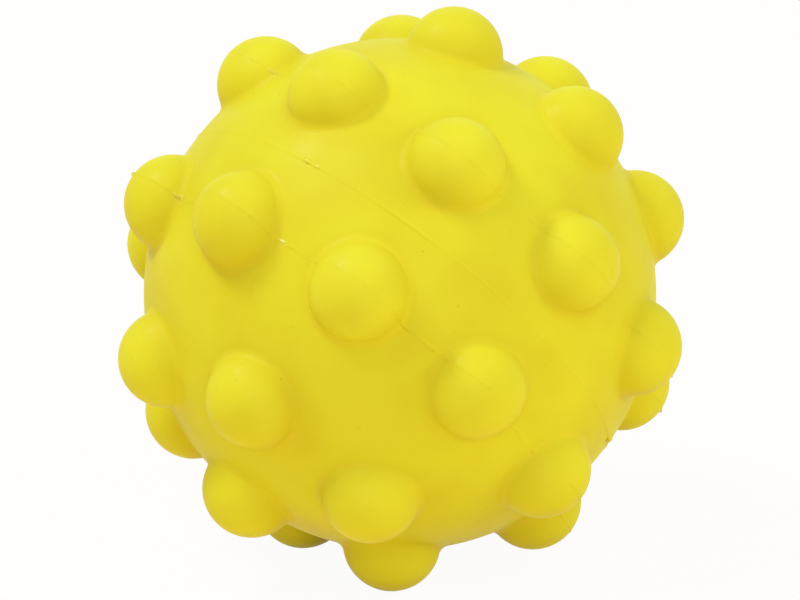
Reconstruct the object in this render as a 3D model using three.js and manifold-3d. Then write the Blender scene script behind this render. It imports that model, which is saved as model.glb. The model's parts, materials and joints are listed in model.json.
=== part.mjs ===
// Pop-it stress ball: a hollow rubber ball of two bonded half shells, with a popping bubble in each seat.
// Millimetres, +Z up. The origin is the centre of the ball, which stands on three of its bubbles.
import * as THREE from "three";
import { mergeVertices } from "three/addons/utils/BufferGeometryUtils.js";
import Module from "manifold-3d";

const wasm = await Module();
wasm.setup();

// The ball
const BALL_RADIUS = 32.5; // outside of the plain ball, between the bubbles
const SHELL_WALL = 2.2;

// The bond between the two half shells
const BOND_THICKNESS = 0.6;
const BOND_GAP = 0.3; // from the bond to each rim
const FLASH_HEIGHT = 0.15; // how far the squeezed-out bond stands proud of the ball

// A bubble and its seat
const DOME_RADIUS = 6.2;
const DOME_HEIGHT = 5.2; // crown above the plain ball
const DOME_WALL = 2.6; // thicker than the shell, so that a bubble gives at its foot and keeps its round top
const SKIRT_LENGTH = 1.7; // from the dome's widest circle to the bubble's mouth
const RUNNING_GAP = 0.3; // bubble to seat, all round
const COLLAR_LIP = 0.2; // flat top of the collar round the seat
const COLLAR_FILLET = 1.2; // hollow flank of the collar, down to the ball
const PAD_DEPTH = 0.4; // how far each of the three feet is pressed flat by the ball's weight

// The pattern of bubbles on one half, counted from the meridian that both rows share
const SEAM_ROW = { name: "seam_bubble", latitude: 18, count: 10 };
const SHOULDER_ROW = { name: "shoulder_bubble", latitude: 54, count: 6 };
const POLE_ROW = { name: "pole_bubble", latitude: 90, count: 1 };
const ROWS = [SEAM_ROW, SHOULDER_ROW, POLE_ROW];
const UPPER_INDEX_PITCHES = 1; // seam pitches by which the upper half is turned on the lower one

// How the ball stands
const FEET = ["seam_bubble_2", "shoulder_bubble_1", "shoulder_bubble_2"]; // on the lower half
const FACING_DEGREES = 8.3; // turn about the upright, with the front towards -Y

// Facets
const BALL_SEGMENTS = 30;
const BALL_ARC_STEPS = 7;
const INSIDE_ARC_STEPS = 4;
const BUBBLE_SEGMENTS = 12;
const DOME_ARC_STEPS = 3;
const CUP_ARC_STEPS = 2;
const FILLET_ARC_STEPS = 2;

// Sizes that follow from those above
const INSIDE_RADIUS = BALL_RADIUS - SHELL_WALL;
const RIM_DEPTH = BOND_THICKNESS / 2 + BOND_GAP;
const DOME_CENTRE = BALL_RADIUS + DOME_HEIGHT - DOME_RADIUS; // from the ball's centre
const SEAT_RADIUS = DOME_RADIUS + RUNNING_GAP;
const LIP_RADIUS = SEAT_RADIUS + COLLAR_LIP;

const COORDINATES = 3; // numbers to a vertex
const QUARTER_TURN = Math.PI / 2;
const HALF_TURN = Math.PI;
const FULL_TURN = 2 * Math.PI;
const LATHE_AXIS = new THREE.Vector3(0, 1, 0);
const radians = THREE.MathUtils.degToRad;

const silicone = new THREE.MeshStandardMaterial({ color: 0xe8dc2a, roughness: 0.45, metalness: 0 });
const adhesive = new THREE.MeshStandardMaterial({ color: 0xe2cf24, roughness: 0.3, metalness: 0 });

// Points of an arc about a centre, from one angle to another, with the ends included.
function arc(centreX, centreY, radius, from, to, steps) {
  return Array.from({ length: steps + 1 }, (_, step) => {
    const angle = THREE.MathUtils.lerp(from, to, step / steps);
    return new THREE.Vector2(centreX + radius * Math.cos(angle), centreY + radius * Math.sin(angle));
  });
}

// A profile's ends are put exactly on the axis, where the cosine of a quarter turn leaves a rounding error.
function onAxis(point) {
  return new THREE.Vector2(0, point.y);
}

function solidOf(geometry) {
  const bare = geometry.clone().deleteAttribute("normal").deleteAttribute("uv");
  const merged = mergeVertices(bare);
  return new wasm.Manifold(
    new wasm.Mesh({
      numProp: COORDINATES,
      vertProperties: merged.attributes.position.array,
      triVerts: new Uint32Array(merged.index.array),
    }),
  );
}

function geometryOf(solid) {
  const { vertProperties, triVerts } = solid.getMesh();
  const geometry = new THREE.BufferGeometry();
  geometry.setAttribute("position", new THREE.BufferAttribute(vertProperties, COORDINATES));
  geometry.setIndex(new THREE.BufferAttribute(triVerts, 1));
  geometry.computeVertexNormals();
  return geometry;
}

// Direction of each bubble on the lower half, whose pole points to -Z.
function bubblePlaces() {
  return ROWS.flatMap(({ name, latitude, count }) =>
    Array.from({ length: count }, (_, index) => {
      const azimuth = (index / count) * FULL_TURN;
      const fromPole = QUARTER_TURN - radians(latitude);
      const direction = new THREE.Vector3(
        Math.sin(fromPole) * Math.cos(azimuth),
        Math.sin(fromPole) * Math.sin(azimuth),
        -Math.cos(fromPole),
      );
      const label = count > 1 ? `${name}_${index + 1}` : name;
      const turn = new THREE.Quaternion().setFromUnitVectors(LATHE_AXIS, direction);
      return { label, direction, turn };
    }),
  );
}

// The bowl before its seats are cut: inside from the pole to the rim, then outside back to the pole.
function bowlProfile() {
  const insideRim = -Math.asin(RIM_DEPTH / INSIDE_RADIUS);
  const outsideRim = -Math.asin(RIM_DEPTH / BALL_RADIUS);
  const inside = arc(0, 0, INSIDE_RADIUS, -QUARTER_TURN, insideRim, INSIDE_ARC_STEPS);
  const outside = arc(0, 0, BALL_RADIUS, outsideRim, -QUARTER_TURN, BALL_ARC_STEPS);
  inside[0] = onAxis(inside[0]);
  outside[BALL_ARC_STEPS] = onAxis(outside[BALL_ARC_STEPS]);
  return [...outside.reverse(), ...inside.reverse()];
}

// The collar's flank runs out level with the ball at its foot and stands upright at its lip.
function collarProfile() {
  const centreX = LIP_RADIUS + COLLAR_FILLET;
  const centreRadius = BALL_RADIUS + COLLAR_FILLET;
  const centreY = Math.sqrt(centreRadius ** 2 - centreX ** 2);
  const footAngle = Math.atan2(-centreY, -centreX);
  const flank = arc(centreX, centreY, COLLAR_FILLET, footAngle, -HALF_TURN, FILLET_ARC_STEPS);
  const foot = flank[0];
  const lip = flank[FILLET_ARC_STEPS];
  const root = foot.y - SHELL_WALL / 2; // buried in the wall of the shell
  return [new THREE.Vector2(0, root), new THREE.Vector2(foot.x, root), ...flank, onAxis(lip)];
}

// A thick cup: the dome outside, drawn in a little to its mouth so that popped neighbours stay clear of each other.
function bubbleProfile() {
  const innerRadius = DOME_RADIUS - DOME_WALL;
  const mouthRadius = Math.sqrt(DOME_RADIUS ** 2 - SKIRT_LENGTH ** 2);
  const dome = arc(0, DOME_CENTRE, DOME_RADIUS, 0, QUARTER_TURN, DOME_ARC_STEPS);
  const mouth = -Math.asin(SKIRT_LENGTH / innerRadius);
  const cup = arc(0, DOME_CENTRE, innerRadius, QUARTER_TURN, mouth, CUP_ARC_STEPS);
  dome[DOME_ARC_STEPS] = onAxis(dome[DOME_ARC_STEPS]);
  cup[0] = onAxis(cup[0]);
  return [...cup, new THREE.Vector2(mouthRadius, DOME_CENTRE - SKIRT_LENGTH), ...dome];
}

// One half shell: the bowl, a collar round each seat, and a bore through wall and collar.
function halfShell(places) {
  const bowl = new THREE.LatheGeometry(bowlProfile(), BALL_SEGMENTS).rotateX(QUARTER_TURN);
  const collar = new THREE.LatheGeometry(collarProfile(), BUBBLE_SEGMENTS);
  const boreLength = 2 * DOME_RADIUS;
  const bore = new THREE.CylinderGeometry(SEAT_RADIUS, SEAT_RADIUS, boreLength, BUBBLE_SEGMENTS);
  bore.translate(0, BALL_RADIUS, 0);
  const collars = places.map(({ turn }) => solidOf(collar.clone().applyQuaternion(turn)));
  const bores = places.map(({ turn }) => solidOf(bore.clone().applyQuaternion(turn)));
  const raised = collars.reduce((shell, added) => shell.add(added), solidOf(bowl));
  return geometryOf(bores.reduce((shell, cut) => shell.subtract(cut), raised));
}

// The ring of bond between the rims, with its flash standing out as a low ridge on the seam.
function seamBond() {
  const half = BOND_THICKNESS / 2;
  const profile = [
    new THREE.Vector2(INSIDE_RADIUS, half),
    new THREE.Vector2(INSIDE_RADIUS, -half),
    new THREE.Vector2(BALL_RADIUS, -half),
    new THREE.Vector2(BALL_RADIUS + FLASH_HEIGHT, 0),
    new THREE.Vector2(BALL_RADIUS, half),
    new THREE.Vector2(INSIDE_RADIUS, half),
  ];
  return new THREE.LatheGeometry(profile, BALL_SEGMENTS).rotateX(QUARTER_TURN);
}

// The way down from the ball's centre, square to the plane that touches the three feet.
function downOnto(feet) {
  const [first, second, third] = feet.map(({ direction }) => direction);
  const down = second.clone().sub(first).cross(third.clone().sub(first)).normalize();
  return down.dot(first) < 0 ? down.negate() : down;
}

// A foot is the same bubble with a small flat where it meets the table.
function footGeometry(bubble, turn, down, tableDistance) {
  const side = 2 * BALL_RADIUS;
  const table = new THREE.BoxGeometry(side, side, side).translate(0, tableDistance + side / 2, 0);
  table.applyQuaternion(new THREE.Quaternion().setFromUnitVectors(LATHE_AXIS, down));
  table.applyQuaternion(turn.clone().invert());
  return geometryOf(solidOf(bubble).subtract(solidOf(table)));
}

function named(name, geometry, material) {
  const mesh = new THREE.Mesh(geometry, material);
  mesh.name = name;
  return mesh;
}

const places = bubblePlaces();
const feet = places.filter(({ label }) => FEET.includes(label));
const down = downOnto(feet);
const tableDistance = DOME_CENTRE * down.dot(feet[0].direction) + DOME_RADIUS - PAD_DEPTH;

const shell = halfShell(places);
const bubble = new THREE.LatheGeometry(bubbleProfile(), BUBBLE_SEGMENTS);

function half(prefix) {
  const group = new THREE.Group();
  group.add(named(`${prefix}_half_shell`, shell, silicone));
  for (const { label, turn } of places) {
    const stands = prefix === "lower" && FEET.includes(label);
    const shape = stands ? footGeometry(bubble, turn, down, tableDistance) : bubble;
    const mesh = named(`${prefix}_${label}`, shape, silicone);
    mesh.quaternion.copy(turn);
    group.add(mesh);
  }
  return group;
}

const lower = half("lower");
const upper = half("upper");
upper.rotation.set(HALF_TURN, 0, 0);
const indexed = new THREE.Group();
indexed.rotation.z = (UPPER_INDEX_PITCHES / SEAM_ROW.count) * FULL_TURN;
indexed.add(upper);

// The whole ball is tipped until its feet point down, and then turned to face the front.
const standing = new THREE.Group();
const tipped = new THREE.Quaternion().setFromUnitVectors(down, new THREE.Vector3(0, 0, -1));
const faced = new THREE.Quaternion().setFromAxisAngle(new THREE.Vector3(0, 0, 1), radians(FACING_DEGREES));
standing.quaternion.multiplyQuaternions(faced, tipped);
standing.add(lower, indexed, named("seam_bond", seamBond(), adhesive));

const stressBall = new THREE.Group();
stressBall.add(standing);

export default stressBall;
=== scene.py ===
# %% [markdown]
# # A yellow pop-it stress ball
# The real ball is a palm-sized hollow ball of soft silicone rubber. It is moulded as two halves, which
# are bonded together at the equator, and each half carries three rows of round bubbles that pop in
# under a finger.
#
# This lesson dresses the ball's construction model. The frame that is loaded first holds every piece at
# its true size and place. The camera and the light come next, then the rubber, and then each visible
# surface is modelled over its construction piece: the two halves, the bubbles, and the bond that joins
# the halves.

# %% Load the construction model
import json
import math

import bmesh
import bpy
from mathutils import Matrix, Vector, noise


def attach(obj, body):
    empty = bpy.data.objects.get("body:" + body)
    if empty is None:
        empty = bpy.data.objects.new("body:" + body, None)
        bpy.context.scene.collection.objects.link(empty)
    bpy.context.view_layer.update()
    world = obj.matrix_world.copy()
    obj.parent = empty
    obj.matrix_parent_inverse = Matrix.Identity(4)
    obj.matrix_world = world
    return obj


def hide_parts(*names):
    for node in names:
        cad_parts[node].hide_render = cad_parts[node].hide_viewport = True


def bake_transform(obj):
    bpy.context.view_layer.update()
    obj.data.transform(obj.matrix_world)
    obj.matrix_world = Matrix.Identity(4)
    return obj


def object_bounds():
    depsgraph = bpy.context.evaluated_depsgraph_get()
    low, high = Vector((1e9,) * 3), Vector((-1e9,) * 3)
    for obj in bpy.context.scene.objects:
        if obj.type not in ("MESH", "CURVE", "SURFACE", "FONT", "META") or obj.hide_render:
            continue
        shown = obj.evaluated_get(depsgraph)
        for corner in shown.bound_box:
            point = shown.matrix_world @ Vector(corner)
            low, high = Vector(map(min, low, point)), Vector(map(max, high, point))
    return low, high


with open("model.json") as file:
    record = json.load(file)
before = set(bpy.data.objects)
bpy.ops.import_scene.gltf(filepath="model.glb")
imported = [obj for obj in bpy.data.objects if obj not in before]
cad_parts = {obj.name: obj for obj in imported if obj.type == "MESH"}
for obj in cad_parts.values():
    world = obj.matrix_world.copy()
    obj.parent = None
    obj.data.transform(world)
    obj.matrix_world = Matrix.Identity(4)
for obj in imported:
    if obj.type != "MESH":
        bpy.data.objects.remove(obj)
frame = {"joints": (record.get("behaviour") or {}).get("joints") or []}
CAD_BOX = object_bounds()
MM = 0.001
print("the construction model reaches from", CAD_BOX[0], "to", CAD_BOX[1])

# %% [markdown]
# ## The sizes that everything follows
# A bubble is a dome that meets the ball in a small hollow fillet, with no edge anywhere, because the
# rubber was moulded as one. The dome, the fillet and the ball are three circles that touch each other,
# so three radii and the height of the crown settle the whole outline. They could be typed in point by
# point, but circles that touch stay smooth when a size changes.
#
# Each bubble slides on a joint of the construction model, so its direction is read from there and not
# repeated.

# %% Sizes in metres
BALL_RADIUS = 32.5 * MM
WALL = 2.2 * MM
DOME_RADIUS = 6.2 * MM
DOME_HEIGHT = 5.2 * MM
FOOT_FILLET = 1.4 * MM
FLOOR_LEVEL = CAD_BOX[0].z
CROWN = BALL_RADIUS + DOME_HEIGHT
DOME_CENTRE = CROWN - DOME_RADIUS

JOINTS = {joint["child"]: joint for joint in frame["joints"]}
DIRECTIONS = {body: -Vector(joint["axis"]).normalized() for body, joint in JOINTS.items()}
POLE = DIRECTIONS["upper_pole_bubble"]
SEAM_LATITUDE = math.asin(DIRECTIONS["upper_seam_bubble_1"].dot(POLE))
seam_degrees = round(math.degrees(SEAM_LATITUDE), 1)
print(len(DIRECTIONS), "bubbles, the seam rows", seam_degrees, "degrees from the seam")

# %% [markdown]
# ## The camera
# The photograph was taken with a long lens, from a little above the ball. A camera far away with a
# narrow view gives the same nearly parallel lines. A nearer camera would show the same pattern, but the
# bubbles at the edge would turn away too fast. Aiming slightly below the centre lifts the ball in the
# picture, as it is there.

# %% Camera
CAMERA_ELEVATION = math.radians(19.07)
CAMERA_DISTANCE = 612 * MM
BALL_RADIUS_IN_PICTURE = 256.2
PICTURE_WIDTH = 800
SENSOR_WIDTH = 36.0
AIM_DROP = 0.8 * MM
NEAREST_SEEN = 10 * MM

TO_CAMERA = Vector((0, -math.cos(CAMERA_ELEVATION), math.sin(CAMERA_ELEVATION)))
CAMERA_RIGHT = Vector((1, 0, 0))
CAMERA_UP = TO_CAMERA.cross(CAMERA_RIGHT)

camera_data = bpy.data.cameras.new("photo_camera")
camera = bpy.data.objects.new("photo_camera", camera_data)
bpy.context.scene.collection.objects.link(camera)
camera.location = TO_CAMERA * CAMERA_DISTANCE - Vector((0, 0, AIM_DROP))
camera.rotation_euler = (-TO_CAMERA).to_track_quat("-Z", "Y").to_euler()
outline_slope = math.tan(math.asin(BALL_RADIUS / CAMERA_DISTANCE))
camera_data.sensor_width = SENSOR_WIDTH
camera_data.lens = SENSOR_WIDTH * BALL_RADIUS_IN_PICTURE / (PICTURE_WIDTH * outline_slope)
camera_data.clip_start = NEAREST_SEEN
bpy.context.scene.camera = camera
bpy.context.scene.view_settings.view_transform = "Standard"
print("a lens of", round(camera_data.lens), "mm at", CAMERA_DISTANCE, "m")

# %% [markdown]
# ## Shader maths as Python
# A material is a small network of nodes. Written node by node, it hides what it says, so a field here
# wraps one socket, and adding, multiplying or comparing fields adds the Math nodes for it. A finish is
# the network that is being put together, of a material or of the world.

# %% A field
class Field:
    """One socket of a network, which Python's operators can work with."""

    def __init__(self, finish, socket):
        self.finish = finish
        self.socket = socket

    def __add__(self, other):
        return self.finish.maths("ADD", self, other)

    def __mul__(self, other):
        return self.finish.maths("MULTIPLY", self, other)

    def __lt__(self, other):
        return self.finish.maths("LESS_THAN", self, other)

    def __gt__(self, other):
        return self.finish.maths("GREATER_THAN", self, other)

    __radd__ = __add__
    __rmul__ = __mul__


# %% A finish
MIX_FACTOR, MIX_A, MIX_B, MIX_RESULT = 0, 6, 7, 2
LIGHT_PATH = "ShaderNodeLightPath"


class Finish:
    """The network of a material or of the world."""

    def __init__(self, owner):
        self.owner = owner
        owner.use_nodes = True
        self.tree = owner.node_tree
        self.tree.nodes.clear()

    def feed(self, socket, value):
        if isinstance(value, Field):
            self.tree.links.new(value.socket, socket)
        else:
            socket.default_value = value

    def node(self, kind, settings=None, sockets=None, output=0):
        made = self.tree.nodes.new(kind)
        for name, value in (settings or {}).items():
            setattr(made, name, value)
        for name, value in (sockets or {}).items():
            self.feed(made.inputs[name], value)
        return Field(self, made.outputs[output])

    def maths(self, operation, first, second):
        return self.node("ShaderNodeMath", {"operation": operation}, {0: first, 1: second})

    def mix(self, factor, first, second):
        sockets = {MIX_FACTOR: factor, MIX_A: first, MIX_B: second}
        return self.node("ShaderNodeMix", {"data_type": "RGBA"}, sockets, MIX_RESULT)

    def ramp(self, value, low, high):
        """0 up to the low value, 1 from the high value, and smooth between them."""
        sockets = {"Value": value, "From Min": low, "From Max": high}
        return self.node("ShaderNodeMapRange", {"interpolation_type": "SMOOTHSTEP"}, sockets)

    def noise(self, where, size, output="Fac"):
        return self.node("ShaderNodeTexNoise", None, {"Vector": where, "Scale": 1 / size}, output)

    def cells(self, where, size, output, feature="F1"):
        sockets = {"Vector": where, "Scale": 1 / size}
        return self.node("ShaderNodeTexVoronoi", {"feature": feature}, sockets, output)

    def seen_directly(self):
        """1 for what the camera sees, also in a reflection or through glass, 0 for bounced light."""
        camera_ray = self.node(LIGHT_PATH, output="Is Camera Ray")
        glossy_ray = self.node(LIGHT_PATH, output="Is Glossy Ray")
        clear_ray = self.node(LIGHT_PATH, output="Is Transmission Ray")
        return self.maths("MINIMUM", camera_ray + glossy_ray + clear_ray, 1.0)

    def done(self, surface, kind="ShaderNodeOutputMaterial"):
        output = self.tree.nodes.new(kind)
        self.feed(output.inputs["Surface"], surface)
        return self.owner


# %% Colours as they are picked
SRGB_TOE, SRGB_TOE_SLOPE, SRGB_OFFSET, SRGB_POWER = 0.04045, 12.92, 0.055, 2.4
FULL_LEVEL = 255


def linear_level(level):
    share = level / FULL_LEVEL
    if share <= SRGB_TOE:
        return share / SRGB_TOE_SLOPE
    return ((share + SRGB_OFFSET) / (1 + SRGB_OFFSET)) ** SRGB_POWER


def linear(*levels):
    """A colour as it is picked from a picture, from 0 to 255, as the shader's linear values."""
    return (*(linear_level(level) for level in levels), 1.0)


WHITE = (1.0, 1.0, 1.0, 1.0)
MID_GREY = (128, 128, 128)
print("a mid grey of", MID_GREY, "is", [round(value, 3) for value in linear(*MID_GREY)])

# %% [markdown]
# ## The floor and the light
# The ball stands on white paper, and the paper runs into a white background. The camera is shown paper
# that glows by itself, so it stays white, while the light that bounces sees real paper, which is a
# little warm. Some of the real paper is mixed in for the camera, which keeps the shadow under the ball.

# %% Floor
WARM_PAPER = linear(250, 228, 178)
FLOOR_SIZE = 3.0
SHADOW_SHARE = 0.05


def white_paper():
    finish = Finish(bpy.data.materials.new("white_paper"))
    paper = finish.node("ShaderNodeBsdfDiffuse", None, {"Color": WARM_PAPER})
    glow = finish.node("ShaderNodeEmission", None, {"Color": WHITE})
    share = finish.seen_directly() * (1 - SHADOW_SHARE)
    return finish.done(finish.node("ShaderNodeMixShader", None, {0: share, 1: paper, 2: glow}))


def new_piece(name, bm, finish):
    mesh = bpy.data.meshes.new(name)
    bm.to_mesh(mesh)
    bm.free()
    mesh.materials.append(finish)
    piece = bpy.data.objects.new(name, mesh)
    bpy.context.scene.collection.objects.link(piece)
    return piece


bm = bmesh.new()
bmesh.ops.create_grid(bm, x_segments=1, y_segments=1, size=FLOOR_SIZE)
bmesh.ops.translate(bm, verts=bm.verts, vec=(0, 0, FLOOR_LEVEL))
floor = new_piece("floor", bm, white_paper())
print("the floor lies at", round(FLOOR_LEVEL / MM, 2), "mm")

# %% [markdown]
# The real ball looks as if a white tent had lit it: light comes from everywhere, more from above and
# from the right, and least from below the camera. The world gives the even part. A few large softboxes,
# named for where they stand as the camera sees them, give the rest, and a weak warm lamp low in front
# stands for light that the table sends back. One strong lamp would be simpler, but it would draw hard
# shadows. Only the boxes in front and above on the left show in the rubber's gloss, as the highlights
# in the photograph do.

# %% World and softboxes
AMBIENT = 0.37
AMBIENT_WARM = linear(255, 250, 240)
LAMP_DISTANCE = 0.8
NEUTRAL = WHITE[:3]
WARM_BOUNCE = linear(255, 205, 130)[:3]


def studio_world():
    finish = Finish(bpy.data.worlds.new("studio"))
    direct = finish.seen_directly()
    colour = finish.mix(direct, AMBIENT_WARM, WHITE)
    level = AMBIENT + (1 - AMBIENT) * direct
    sky = finish.node("ShaderNodeBackground", None, {"Color": colour, "Strength": level})
    return finish.done(sky, "ShaderNodeOutputWorld")


def softbox(name, right, up, towards, size, power, in_gloss=False, colour=NEUTRAL):
    place = (CAMERA_RIGHT * right + CAMERA_UP * up + TO_CAMERA * towards).normalized() * LAMP_DISTANCE
    data = bpy.data.lights.new(name, "AREA")
    data.shape = "DISK"
    data.size = size
    data.energy = power
    data.color = colour
    lamp = bpy.data.objects.new(name, data)
    lamp.location = place
    lamp.rotation_euler = (-place).to_track_quat("-Z", "Y").to_euler()
    lamp.visible_camera = False
    lamp.visible_glossy = in_gloss
    bpy.context.scene.collection.objects.link(lamp)


bpy.context.scene.world = studio_world()
softbox("front_softbox", right=0, up=0.05, towards=1, size=0.5, power=1.05, in_gloss=True)
softbox("front_right_softbox", right=0.7, up=0.1, towards=0.7, size=0.5, power=0.45)
softbox("right_softbox", right=0.95, up=0.3, towards=0.3, size=0.25, power=1.35)
softbox("back_right_softbox", right=0.75, up=0.3, towards=-0.6, size=0.5, power=0.4)
softbox("upper_right_softbox", right=0.45, up=0.75, towards=0.45, size=0.4, power=0.5)
softbox("upper_left_softbox", right=-0.45, up=0.75, towards=0.45, size=0.4, power=1.7, in_gloss=True)
softbox("key_softbox", right=-0.54, up=0.83, towards=0.16, size=0.15, power=1.85, in_gloss=True)
softbox("back_softbox", right=0, up=0.7, towards=-0.7, size=0.5, power=0.7)
softbox("table_bounce", right=0.25, up=-0.3, towards=0.9, size=0.5, power=0.5, colour=WARM_BOUNCE)
print(len(bpy.data.lights), "lamps at", LAMP_DISTANCE, "m")

# %% [markdown]
# ## The silicone
# Moulded silicone is satin and a little uneven. Its colour drifts softly over the ball. Shade at the
# foot of each bubble is painted into the colour as a deeper tint, and light on the bubble's top is
# painted in as a paler tint. The rubber is tacky, so it collects specks of dust and a few hairs of lint,
# and its skin has a fine grain. All of it could be painted on as a picture. Noise on Object coordinates is
# better here, because it has its real size and runs on from one piece to the next.

# %% Colour of the rubber, with painted shade and painted light
YELLOW = linear(226, 222, 49)
DEEP_YELLOW = linear(220, 211, 44)
# painted light: a paler yellow painted on the top of each bubble
PAINTED_TOP_LIGHT_YELLOW = linear(233, 231, 60)
# painted shade: an orange yellow painted into the foot of each bubble
PAINTED_SHADE_YELLOW = linear(212, 176, 26)
DRIFT_SIZE = 14 * MM
DRIFT_LOW, DRIFT_HIGH = 0.35, 0.7
PAINTED_SHADE_STRENGTH = 0.16
PAINTED_TOP_LIGHT_STRENGTH = 0.28


def rubber_colour_with_painted_light(finish, where):
    drift = finish.ramp(finish.noise(where, DRIFT_SIZE), DRIFT_LOW, DRIFT_HIGH)
    painted_crease_shade = finish.node("ShaderNodeAttribute", {"attribute_name": "painted_crease_shade"}, None, "Fac")
    painted_top_light = finish.node("ShaderNodeAttribute", {"attribute_name": "painted_top_light"}, None, "Fac")
    colour = finish.mix(drift, YELLOW, DEEP_YELLOW)
    # painted light: the top of each bubble is made paler
    with_painted_top_light = finish.mix(painted_top_light * PAINTED_TOP_LIGHT_STRENGTH, colour, PAINTED_TOP_LIGHT_YELLOW)
    # painted shade: the foot of each bubble is darkened towards orange
    return finish.mix(painted_crease_shade * PAINTED_SHADE_STRENGTH, with_painted_top_light, PAINTED_SHADE_YELLOW)


# %% Dust and lint
DUST = linear(150, 118, 40)
SPECK_SPACING = 3.6 * MM
SPECK_SIZE = 0.034
SPECK_KEPT = 0.6
DUST_STRENGTH = 0.32
HAIR_SPACING = 11 * MM
HAIR_WIDTH = 0.006
HAIR_PATCH = 2.2 * MM
HAIR_KEPT = 0.66
HAIR_STRENGTH = 0.08
BEND = 2.5 * MM


def dust_on(finish, where):
    """How much dust covers a place: round specks in some cells, and hairs along a few bent cell walls."""
    chance = finish.node("ShaderNodeSeparateColor", None, {0: finish.cells(where, SPECK_SPACING, "Color")})
    specks = (finish.cells(where, SPECK_SPACING, "Distance") < SPECK_SIZE) * (chance > SPECK_KEPT)
    bends = finish.noise(where, HAIR_SPACING / 2, "Color")
    settings = {"operation": "MULTIPLY_ADD"}
    bent = finish.node("ShaderNodeVectorMath", settings, {0: bends, 1: (BEND, BEND, BEND), 2: where})
    walls = finish.cells(bent, HAIR_SPACING, "Distance", "DISTANCE_TO_EDGE")
    hairs = (walls < HAIR_WIDTH) * (finish.noise(where, HAIR_PATCH) > HAIR_KEPT)
    return finish.maths("MAXIMUM", specks * DUST_STRENGTH, hairs * HAIR_STRENGTH)


# %% Silicone finish
SILICONE_IOR = 1.41
GLOSS_LEVEL = 0.07
ROUGHNESS = 0.42
ROUGHNESS_DRIFT = 0.12
ROUGHNESS_SIZE = 9 * MM
COAT_LEAST = 0.03
COAT_ROUGHNESS = 0.2
GRAIN_SIZE = 0.35 * MM
WAVE_SIZE = 3 * MM
WAVE_TO_GRAIN = 2
GRAIN_DEPTH = 0.02 * MM
GRAIN_STRENGTH = 0.5


def silicone_finish():
    finish = Finish(bpy.data.materials.new("yellow_silicone"))
    where = finish.node("ShaderNodeTexCoord", output="Object")
    colour = finish.mix(dust_on(finish, where), rubber_colour_with_painted_light(finish, where), DUST)
    glazed = finish.node("ShaderNodeAttribute", {"attribute_name": "glaze"}, None, "Fac")
    coat = COAT_LEAST + (1 - COAT_LEAST) * glazed
    roughness = ROUGHNESS + ROUGHNESS_DRIFT * finish.noise(where, ROUGHNESS_SIZE)
    height = finish.noise(where, GRAIN_SIZE) + WAVE_TO_GRAIN * finish.noise(where, WAVE_SIZE)
    grain = {"Height": height, "Distance": GRAIN_DEPTH, "Strength": GRAIN_STRENGTH}
    normal = finish.node("ShaderNodeBump", None, grain)
    sockets = {"Base Color": colour, "Roughness": roughness, "Normal": normal, "IOR": SILICONE_IOR,
               "Specular IOR Level": GLOSS_LEVEL, "Coat Weight": coat, "Coat Roughness": COAT_ROUGHNESS}
    return finish.done(finish.node("ShaderNodeBsdfPrincipled", None, sockets))


SILICONE = silicone_finish()
print("the silicone has", len(SILICONE.node_tree.nodes), "nodes")

# %% [markdown]
# ## Where the painted shade and light go
# The finish needs to know where a bubble's foot and its top are. Each vertex gets one number that is 1
# at the foot of the nearest bubble, where shade is painted in, and fades to 0 on both sides, and another
# that is 1 on the top of a bubble, where a paler painted light goes. Both are measured from the
# bubble's axis, so two pieces that meet there agree about them.

# %% Attributes for the painted shade and the painted light
CREASE_RADIUS = 6.4 * MM
CREASE_WIDTH = 0.8 * MM
TOP_LIGHT_FROM = 7.0 * MM
TOP_LIGHT_FULL = 4.5 * MM


def axis_distance(place, directions):
    """How far a place lies from the axis of the nearest bubble."""
    nearest = max(directions, key=place.dot)
    return (place - nearest * place.dot(nearest)).length


# how near a place is to a bubble's foot; it places the painted shade and the extra flash in the hollow
def crease_share(place, directions):
    return math.exp(-(((axis_distance(place, directions) - CREASE_RADIUS) / CREASE_WIDTH) ** 2))


# how near a place is to the top of a bubble, where the painted light goes
def top_light_share(place, directions):
    share = (TOP_LIGHT_FROM - axis_distance(place, directions)) / (TOP_LIGHT_FROM - TOP_LIGHT_FULL)
    return min(max(share, 0), 1)


# stores on each vertex where the painted shade and the painted light go
def mark_painted_shade_and_light(bm, directions):
    for name, share_of in (("painted_crease_shade", crease_share), ("painted_top_light", top_light_share)):
        layer = bm.verts.layers.float.new(name)
        for vert in bm.verts:
            vert[layer] = share_of(vert.co, directions)


# %% [markdown]
# ## Lumps on the lines
# Flash and glue stand out most in a few lumps. Each is placed by its azimuth, the angle in degrees
# about the ball's pole from the first seam bubble of the upper half, and its half length is an angle
# too. A lump is torn or squeezed rubber with a smooth skin, so its vertices also get a glaze, which the
# finish turns into a glossy coat.

# %% Lump helpers
MERIDIAN = (DIRECTIONS["upper_seam_bubble_1"] - POLE * math.sin(SEAM_LATITUDE)).normalized()
QUARTER = POLE.cross(MERIDIAN)
FULL_TURN = 360
GLAZE_WIDTH = 0.35 * MM


def lump(azimuth, height, half_length):
    return {"azimuth": azimuth, "height": height, "half_length": half_length}


def lump_shares(place, lumps):
    """How near a place is to the top of each lump, from 0 to 1, going by the azimuth alone."""
    azimuth = math.degrees(math.atan2(place.dot(QUARTER), place.dot(MERIDIAN))) % FULL_TURN
    return [math.exp(-(((azimuth - item["azimuth"]) / item["half_length"]) ** 2)) for item in lumps]


def lump_height(place, lumps):
    return sum(item["height"] * share for item, share in zip(lumps, lump_shares(place, lumps)))


def mark_glaze(bm, level, lumps):
    """Glazes the lumps on the line that runs round the ball at a level along the pole."""
    layer = bm.verts.layers.float.new("glaze")
    for vert in bm.verts:
        beside = math.exp(-(((vert.co.dot(POLE) - level) / GLAZE_WIDTH) ** 2))
        vert[layer] = max(lump_shares(vert.co, lumps)) * beside


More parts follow.
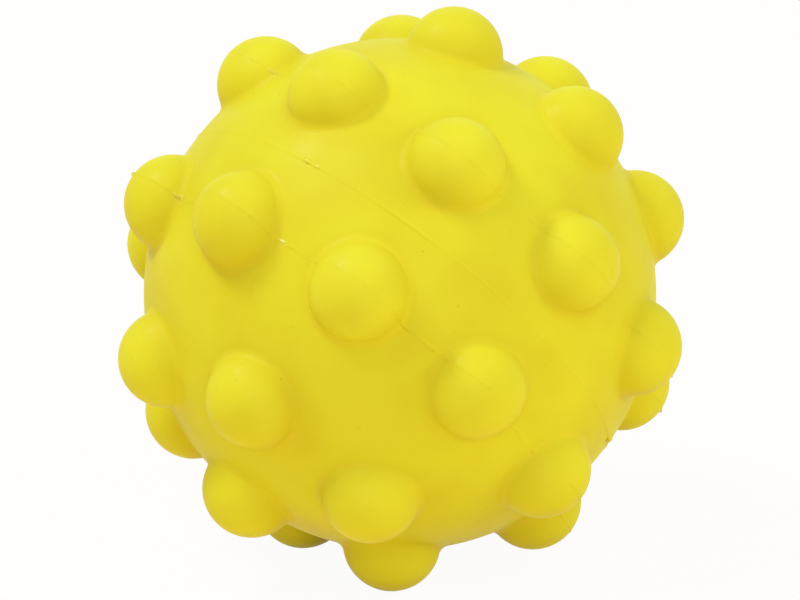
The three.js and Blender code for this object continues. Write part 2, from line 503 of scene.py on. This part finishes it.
# %% [markdown]
# ## The parting lines
# Each half was moulded in a tool whose parting line runs through its seam row of bubbles. Rubber crept
# into the line and left a thin raised edge, called flash. It comes and goes along the line, and more of
# it stays in the hollows. Planes cut the mesh along the line, and the cut edges in the middle are
# lifted. A bump in the material would not show against the white background, where the real line makes
# small nubs.

# %% Ridge helpers
RIDGE_LEVEL = BALL_RADIUS * math.sin(SEAM_LATITUDE)
RIDGE_HALF_WIDTH = 0.3 * MM
RIDGE_HEIGHT = 0.06 * MM
RIDGE_WAVE = 5 * MM
RIDGE_MEAN, RIDGE_SWING, RIDGE_LEAST = 0.8, 0.7, 0.3
HOLLOW_FLASH = 0.04 * MM
CUT_SNAP = 0.0001 * MM
SAME_PLACE = 10 * CUT_SNAP
RIDGE_PROFILE = ((-1.4, 0), (-1, 0), (-0.5, 0.6), (0, 1), (0.5, 0.6), (1, 0), (1.4, 0))
NUBS = {
    1: (lump(138.5, 0.42 * MM, 0.7), lump(155.5, 0.22 * MM, 0.8), lump(294.5, 0.4 * MM, 0.8),
        lump(323.5, 0.4 * MM, 0.8)),
    -1: (lump(144.0, 0.42 * MM, 0.7), lump(155.5, 0.22 * MM, 0.8), lump(194.5, 0.12 * MM, 0.8)),
}


def cut(bm, level, normal, clear=False):
    geometry = [*bm.verts, *bm.edges, *bm.faces]
    bmesh.ops.bisect_plane(
        bm, geom=geometry, dist=CUT_SNAP, plane_co=normal * level, plane_no=normal, clear_outer=clear
    )


def flash_height(place, side, directions):
    wave = max(RIDGE_MEAN + RIDGE_SWING * noise.noise(place / RIDGE_WAVE), RIDGE_LEAST)
    flash = wave * (RIDGE_HEIGHT + HOLLOW_FLASH * crease_share(place, directions))
    return flash + lump_height(place, NUBS[side])


def raise_ridge(bm, side, directions):
    """The flash across a mesh, on the upper side (1) or the lower side (-1) of the seam."""
    normal = POLE * side
    for offset, _ in RIDGE_PROFILE:
        cut(bm, RIDGE_LEVEL + offset * RIDGE_HALF_WIDTH, normal)
    bm.normal_update()
    outside = [vert for vert in bm.verts if vert.co.length > BALL_RADIUS - WALL / 2]
    for offset, share in RIDGE_PROFILE:
        level = RIDGE_LEVEL + offset * RIDGE_HALF_WIDTH
        line = [vert for vert in outside if abs(vert.co.dot(normal) - level) < SAME_PLACE]
        for vert in line:
            on_ball = vert.co.length < BALL_RADIUS + SAME_PLACE
            outwards = vert.co.normalized() if on_ball else vert.normal
            vert.co += outwards * share * flash_height(vert.co, side, directions)
    mark_glaze(bm, RIDGE_LEVEL * side, NUBS[side])


# %% [markdown]
# ## The two half shells
# Each half of the ball is a thin bowl of rubber. A sphere is cut in two at the seam and opened by a
# round hole for each bubble, and the sheet that is left gets its wall. The sphere starts as an
# icosphere, whose even triangles stay round under the light. A globe of rings would pinch at its poles.
#
# A narrow strip of the sphere is kept round every hole, and each bubble starts with the same strip, so
# that both sides of the joint face the same way and the joint can't be seen.

# %% Half shells
HOLE_ANGLE = math.radians(13.5)
EDGE_STRIP = 0.05 * MM
STRIP_ANGLE = EDGE_STRIP / BALL_RADIUS
BALL_DIVISIONS = 7
BOND_HALF_WIDTH = 0.3 * MM


def half_skin(side, directions):
    bm = bmesh.new()
    bmesh.ops.create_icosphere(bm, subdivisions=BALL_DIVISIONS, radius=BALL_RADIUS)
    cut(bm, -BOND_HALF_WIDTH, -POLE * side, clear=True)
    for direction in directions:
        cut(bm, BALL_RADIUS * math.cos(HOLE_ANGLE + STRIP_ANGLE), direction)
        cut(bm, BALL_RADIUS * math.cos(HOLE_ANGLE), direction, clear=True)
    raise_ridge(bm, side, directions)
    mark_painted_shade_and_light(bm, directions)
    for edge in bm.edges:
        edge.smooth = not edge.is_boundary
    for face in bm.faces:
        face.smooth = True
    bmesh.ops.solidify(bm, geom=[*bm.verts, *bm.edges, *bm.faces], thickness=WALL)
    return bm


for half, side in (("lower", -1), ("upper", 1)):
    half_directions = [direction for body, direction in DIRECTIONS.items() if body.startswith(half)]
    bm = half_skin(side, half_directions)
    print(half, "half:", len(bm.faces), "faces,", round(bm.calc_volume(signed=True) / MM**3), "cubic mm")
    piece = new_piece(f"{half}_half_skin", bm, SILICONE)
    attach(piece, "shell")
    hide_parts(f"{half}_half_shell")

# %% [markdown]
# ## The outline of a bubble
# Every bubble is round, so half of its outline is enough. One vertex starts at the crown and is swung
# along the dome, back along the hollow fillet and out along the ball, and each swing leaves a row of
# edges behind it. The outline then goes in through the wall and back to the axis as a bowl, so that the
# bubble is a closed body.

# %% Outline helpers
DOME_STEPS, FILLET_STEPS, BALL_STEPS, BOWL_STEPS = 24, 10, 3, 8
BOWL_DEPTH = 4.0 * MM
ACROSS = Vector((0, 1, 0))
ORIGIN = Vector((0, 0, 0))


def fillet_centre():
    """The centre of the circle that touches both the dome and the ball, beside the upright axis."""
    ball_reach = BALL_RADIUS + FOOT_FILLET
    dome_reach = DOME_RADIUS + FOOT_FILLET
    up = (DOME_CENTRE**2 + ball_reach**2 - dome_reach**2) / (2 * DOME_CENTRE)
    return Vector((math.sqrt(ball_reach**2 - up**2), 0, up))


FILLET_CENTRE = fillet_centre()
DOME_ANGLE = math.atan2(FILLET_CENTRE.x, FILLET_CENTRE.z - DOME_CENTRE)
FOOT_ANGLE = math.atan2(FILLET_CENTRE.x, FILLET_CENTRE.z)


def swing(bm, vert, centre, angle, steps):
    made = bmesh.ops.spin(bm, geom=[vert], cent=centre, axis=ACROSS, angle=angle, steps=steps)
    return next(item for item in made["geom_last"] if isinstance(item, bmesh.types.BMVert))


def bubble_outline(bm):
    vert = bm.verts.new((0, 0, CROWN))
    vert = swing(bm, vert, Vector((0, 0, DOME_CENTRE)), DOME_ANGLE, DOME_STEPS)
    vert = swing(bm, vert, FILLET_CENTRE, FOOT_ANGLE - DOME_ANGLE, FILLET_STEPS)
    vert = swing(bm, vert, ORIGIN, HOLE_ANGLE - STRIP_ANGLE - FOOT_ANGLE, BALL_STEPS)
    vert = swing(bm, vert, ORIGIN, STRIP_ANGLE, 1)
    inner = bmesh.ops.extrude_vert_indiv(bm, verts=[vert])["verts"][0]
    inner.co *= (BALL_RADIUS - WALL) / BALL_RADIUS
    bowl_radius = (inner.co.x**2 + BOWL_DEPTH**2) / (2 * BOWL_DEPTH)
    bowl_centre = Vector((0, 0, inner.co.z - BOWL_DEPTH + bowl_radius))
    bowl_angle = math.atan2(inner.co.x, bowl_centre.z - inner.co.z)
    swing(bm, inner, bowl_centre, bowl_angle, BOWL_STEPS)


print("the fillet starts", round(math.degrees(FOOT_ANGLE), 1), "degrees from the bubble's axis")

# %% [markdown]
# The outline is spun about the axis into a solid and turned to its place on the ball. The bubbles of
# the seam rows get their part of the parting line. The three bubbles that the ball stands on are
# pressed flat at the floor.

# %% A bubble
SPIN_STEPS = 72
UPRIGHT = Vector((0, 0, 1))
SHARP_ANGLE = math.radians(40)


def spin_round(bm, steps):
    """Spins an outline into a closed solid about the upright axis, with its faces outwards."""
    geometry = [*bm.verts, *bm.edges]
    bmesh.ops.spin(
        bm, geom=geometry, cent=ORIGIN, axis=UPRIGHT, angle=math.tau, steps=steps, use_merge=True
    )
    bmesh.ops.remove_doubles(bm, verts=bm.verts, dist=SAME_PLACE)
    bmesh.ops.recalc_face_normals(bm, faces=bm.faces)


def smooth_between_edges(bm):
    for face in bm.faces:
        face.smooth = True
    for edge in bm.edges:
        edge.smooth = not (edge.is_manifold and edge.calc_face_angle() > SHARP_ANGLE)


def bubble_skin(body):
    direction = DIRECTIONS[body]
    bm = bmesh.new()
    bubble_outline(bm)
    spin_round(bm, SPIN_STEPS)
    turn = UPRIGHT.rotation_difference(direction).to_matrix()
    bmesh.ops.rotate(bm, verts=bm.verts, cent=ORIGIN, matrix=turn)
    smooth_between_edges(bm)
    if "seam" in body:
        raise_ridge(bm, 1 if body.startswith("upper") else -1, [direction])
    mark_painted_shade_and_light(bm, [direction])
    for vert in bm.verts:
        vert.co.z = max(vert.co.z, FLOOR_LEVEL)
    return bm


# %% [markdown]
# ## The bubbles on the ball
# A finger turns the dome inside out, while its foot stays joined to the ball. Each bubble's skin is made
# here at its place on the ball, and the construction piece under it is hidden.

for body, direction in DIRECTIONS.items():
    piece = new_piece(f"{body}_skin", bubble_skin(body), SILICONE)
    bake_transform(piece)
    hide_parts(body)
print(len(DIRECTIONS), "bubbles of", len(piece.data.polygons), "faces or so")

# %% [markdown]
# ## The bond on the seam
# The two halves are glued rim to rim, and a low bead of glue stands out where they meet. It is uneven,
# fades away in places, and has a few lumps where more was squeezed out. A ring is spun from a small
# outline with a rounded outer edge, and that edge is then raised and lowered along its way round.

# %% Seam bond
BOND_STEPS = 720
BEAD_HEIGHT = 0.07 * MM
BEAD_SHOULDER = 0.6
BEAD_SPREAD = 1.2
BEAD_WAVE = 5 * MM
BEAD_MEAN, BEAD_SWING = 0.7, 0.9
SQUEEZED = (lump(301.5, 0.5 * MM, 1.5), lump(188.5, 0.22 * MM, 0.8), lump(191.5, 0.18 * MM, 0.5))


def bead_height(place):
    wave = max(BEAD_MEAN + BEAD_SWING * noise.noise(place / BEAD_WAVE), 0)
    return BEAD_HEIGHT * wave + lump_height(place, SQUEEZED)


def bond_ring():
    bm = bmesh.new()
    inside = BALL_RADIUS - WALL
    half = BOND_HALF_WIDTH
    outline = [(inside, -half), (BALL_RADIUS, -half), (BALL_RADIUS, -half / 2), (BALL_RADIUS, 0),
               (BALL_RADIUS, half / 2), (BALL_RADIUS, half), (inside, half)]
    corners = [bm.verts.new((x, 0, z)) for x, z in outline]
    for first, second in zip(corners, corners[1:] + corners[:1]):
        bm.edges.new((first, second))
    spin_round(bm, BOND_STEPS)
    turn = UPRIGHT.rotation_difference(POLE).to_matrix()
    bmesh.ops.rotate(bm, verts=bm.verts, cent=ORIGIN, matrix=turn)
    smooth_between_edges(bm)
    for vert in bm.verts:
        level = vert.co.dot(POLE)
        if vert.co.length > BALL_RADIUS - SAME_PLACE and abs(level) < half - SAME_PLACE:
            share = 1 - (1 - BEAD_SHOULDER) * 2 * abs(level) / half
            bead = bead_height(vert.co)
            vert.co += vert.co.normalized() * share * bead + POLE * BEAD_SPREAD * bead * level / half
    mark_glaze(bm, 0, SQUEEZED)
    return bm


piece = new_piece("seam_bond_flash", bond_ring(), SILICONE)
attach(piece, "shell")
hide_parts("seam_bond")
print("the bond has", len(piece.data.polygons), "faces and", len(SQUEEZED), "lumps")
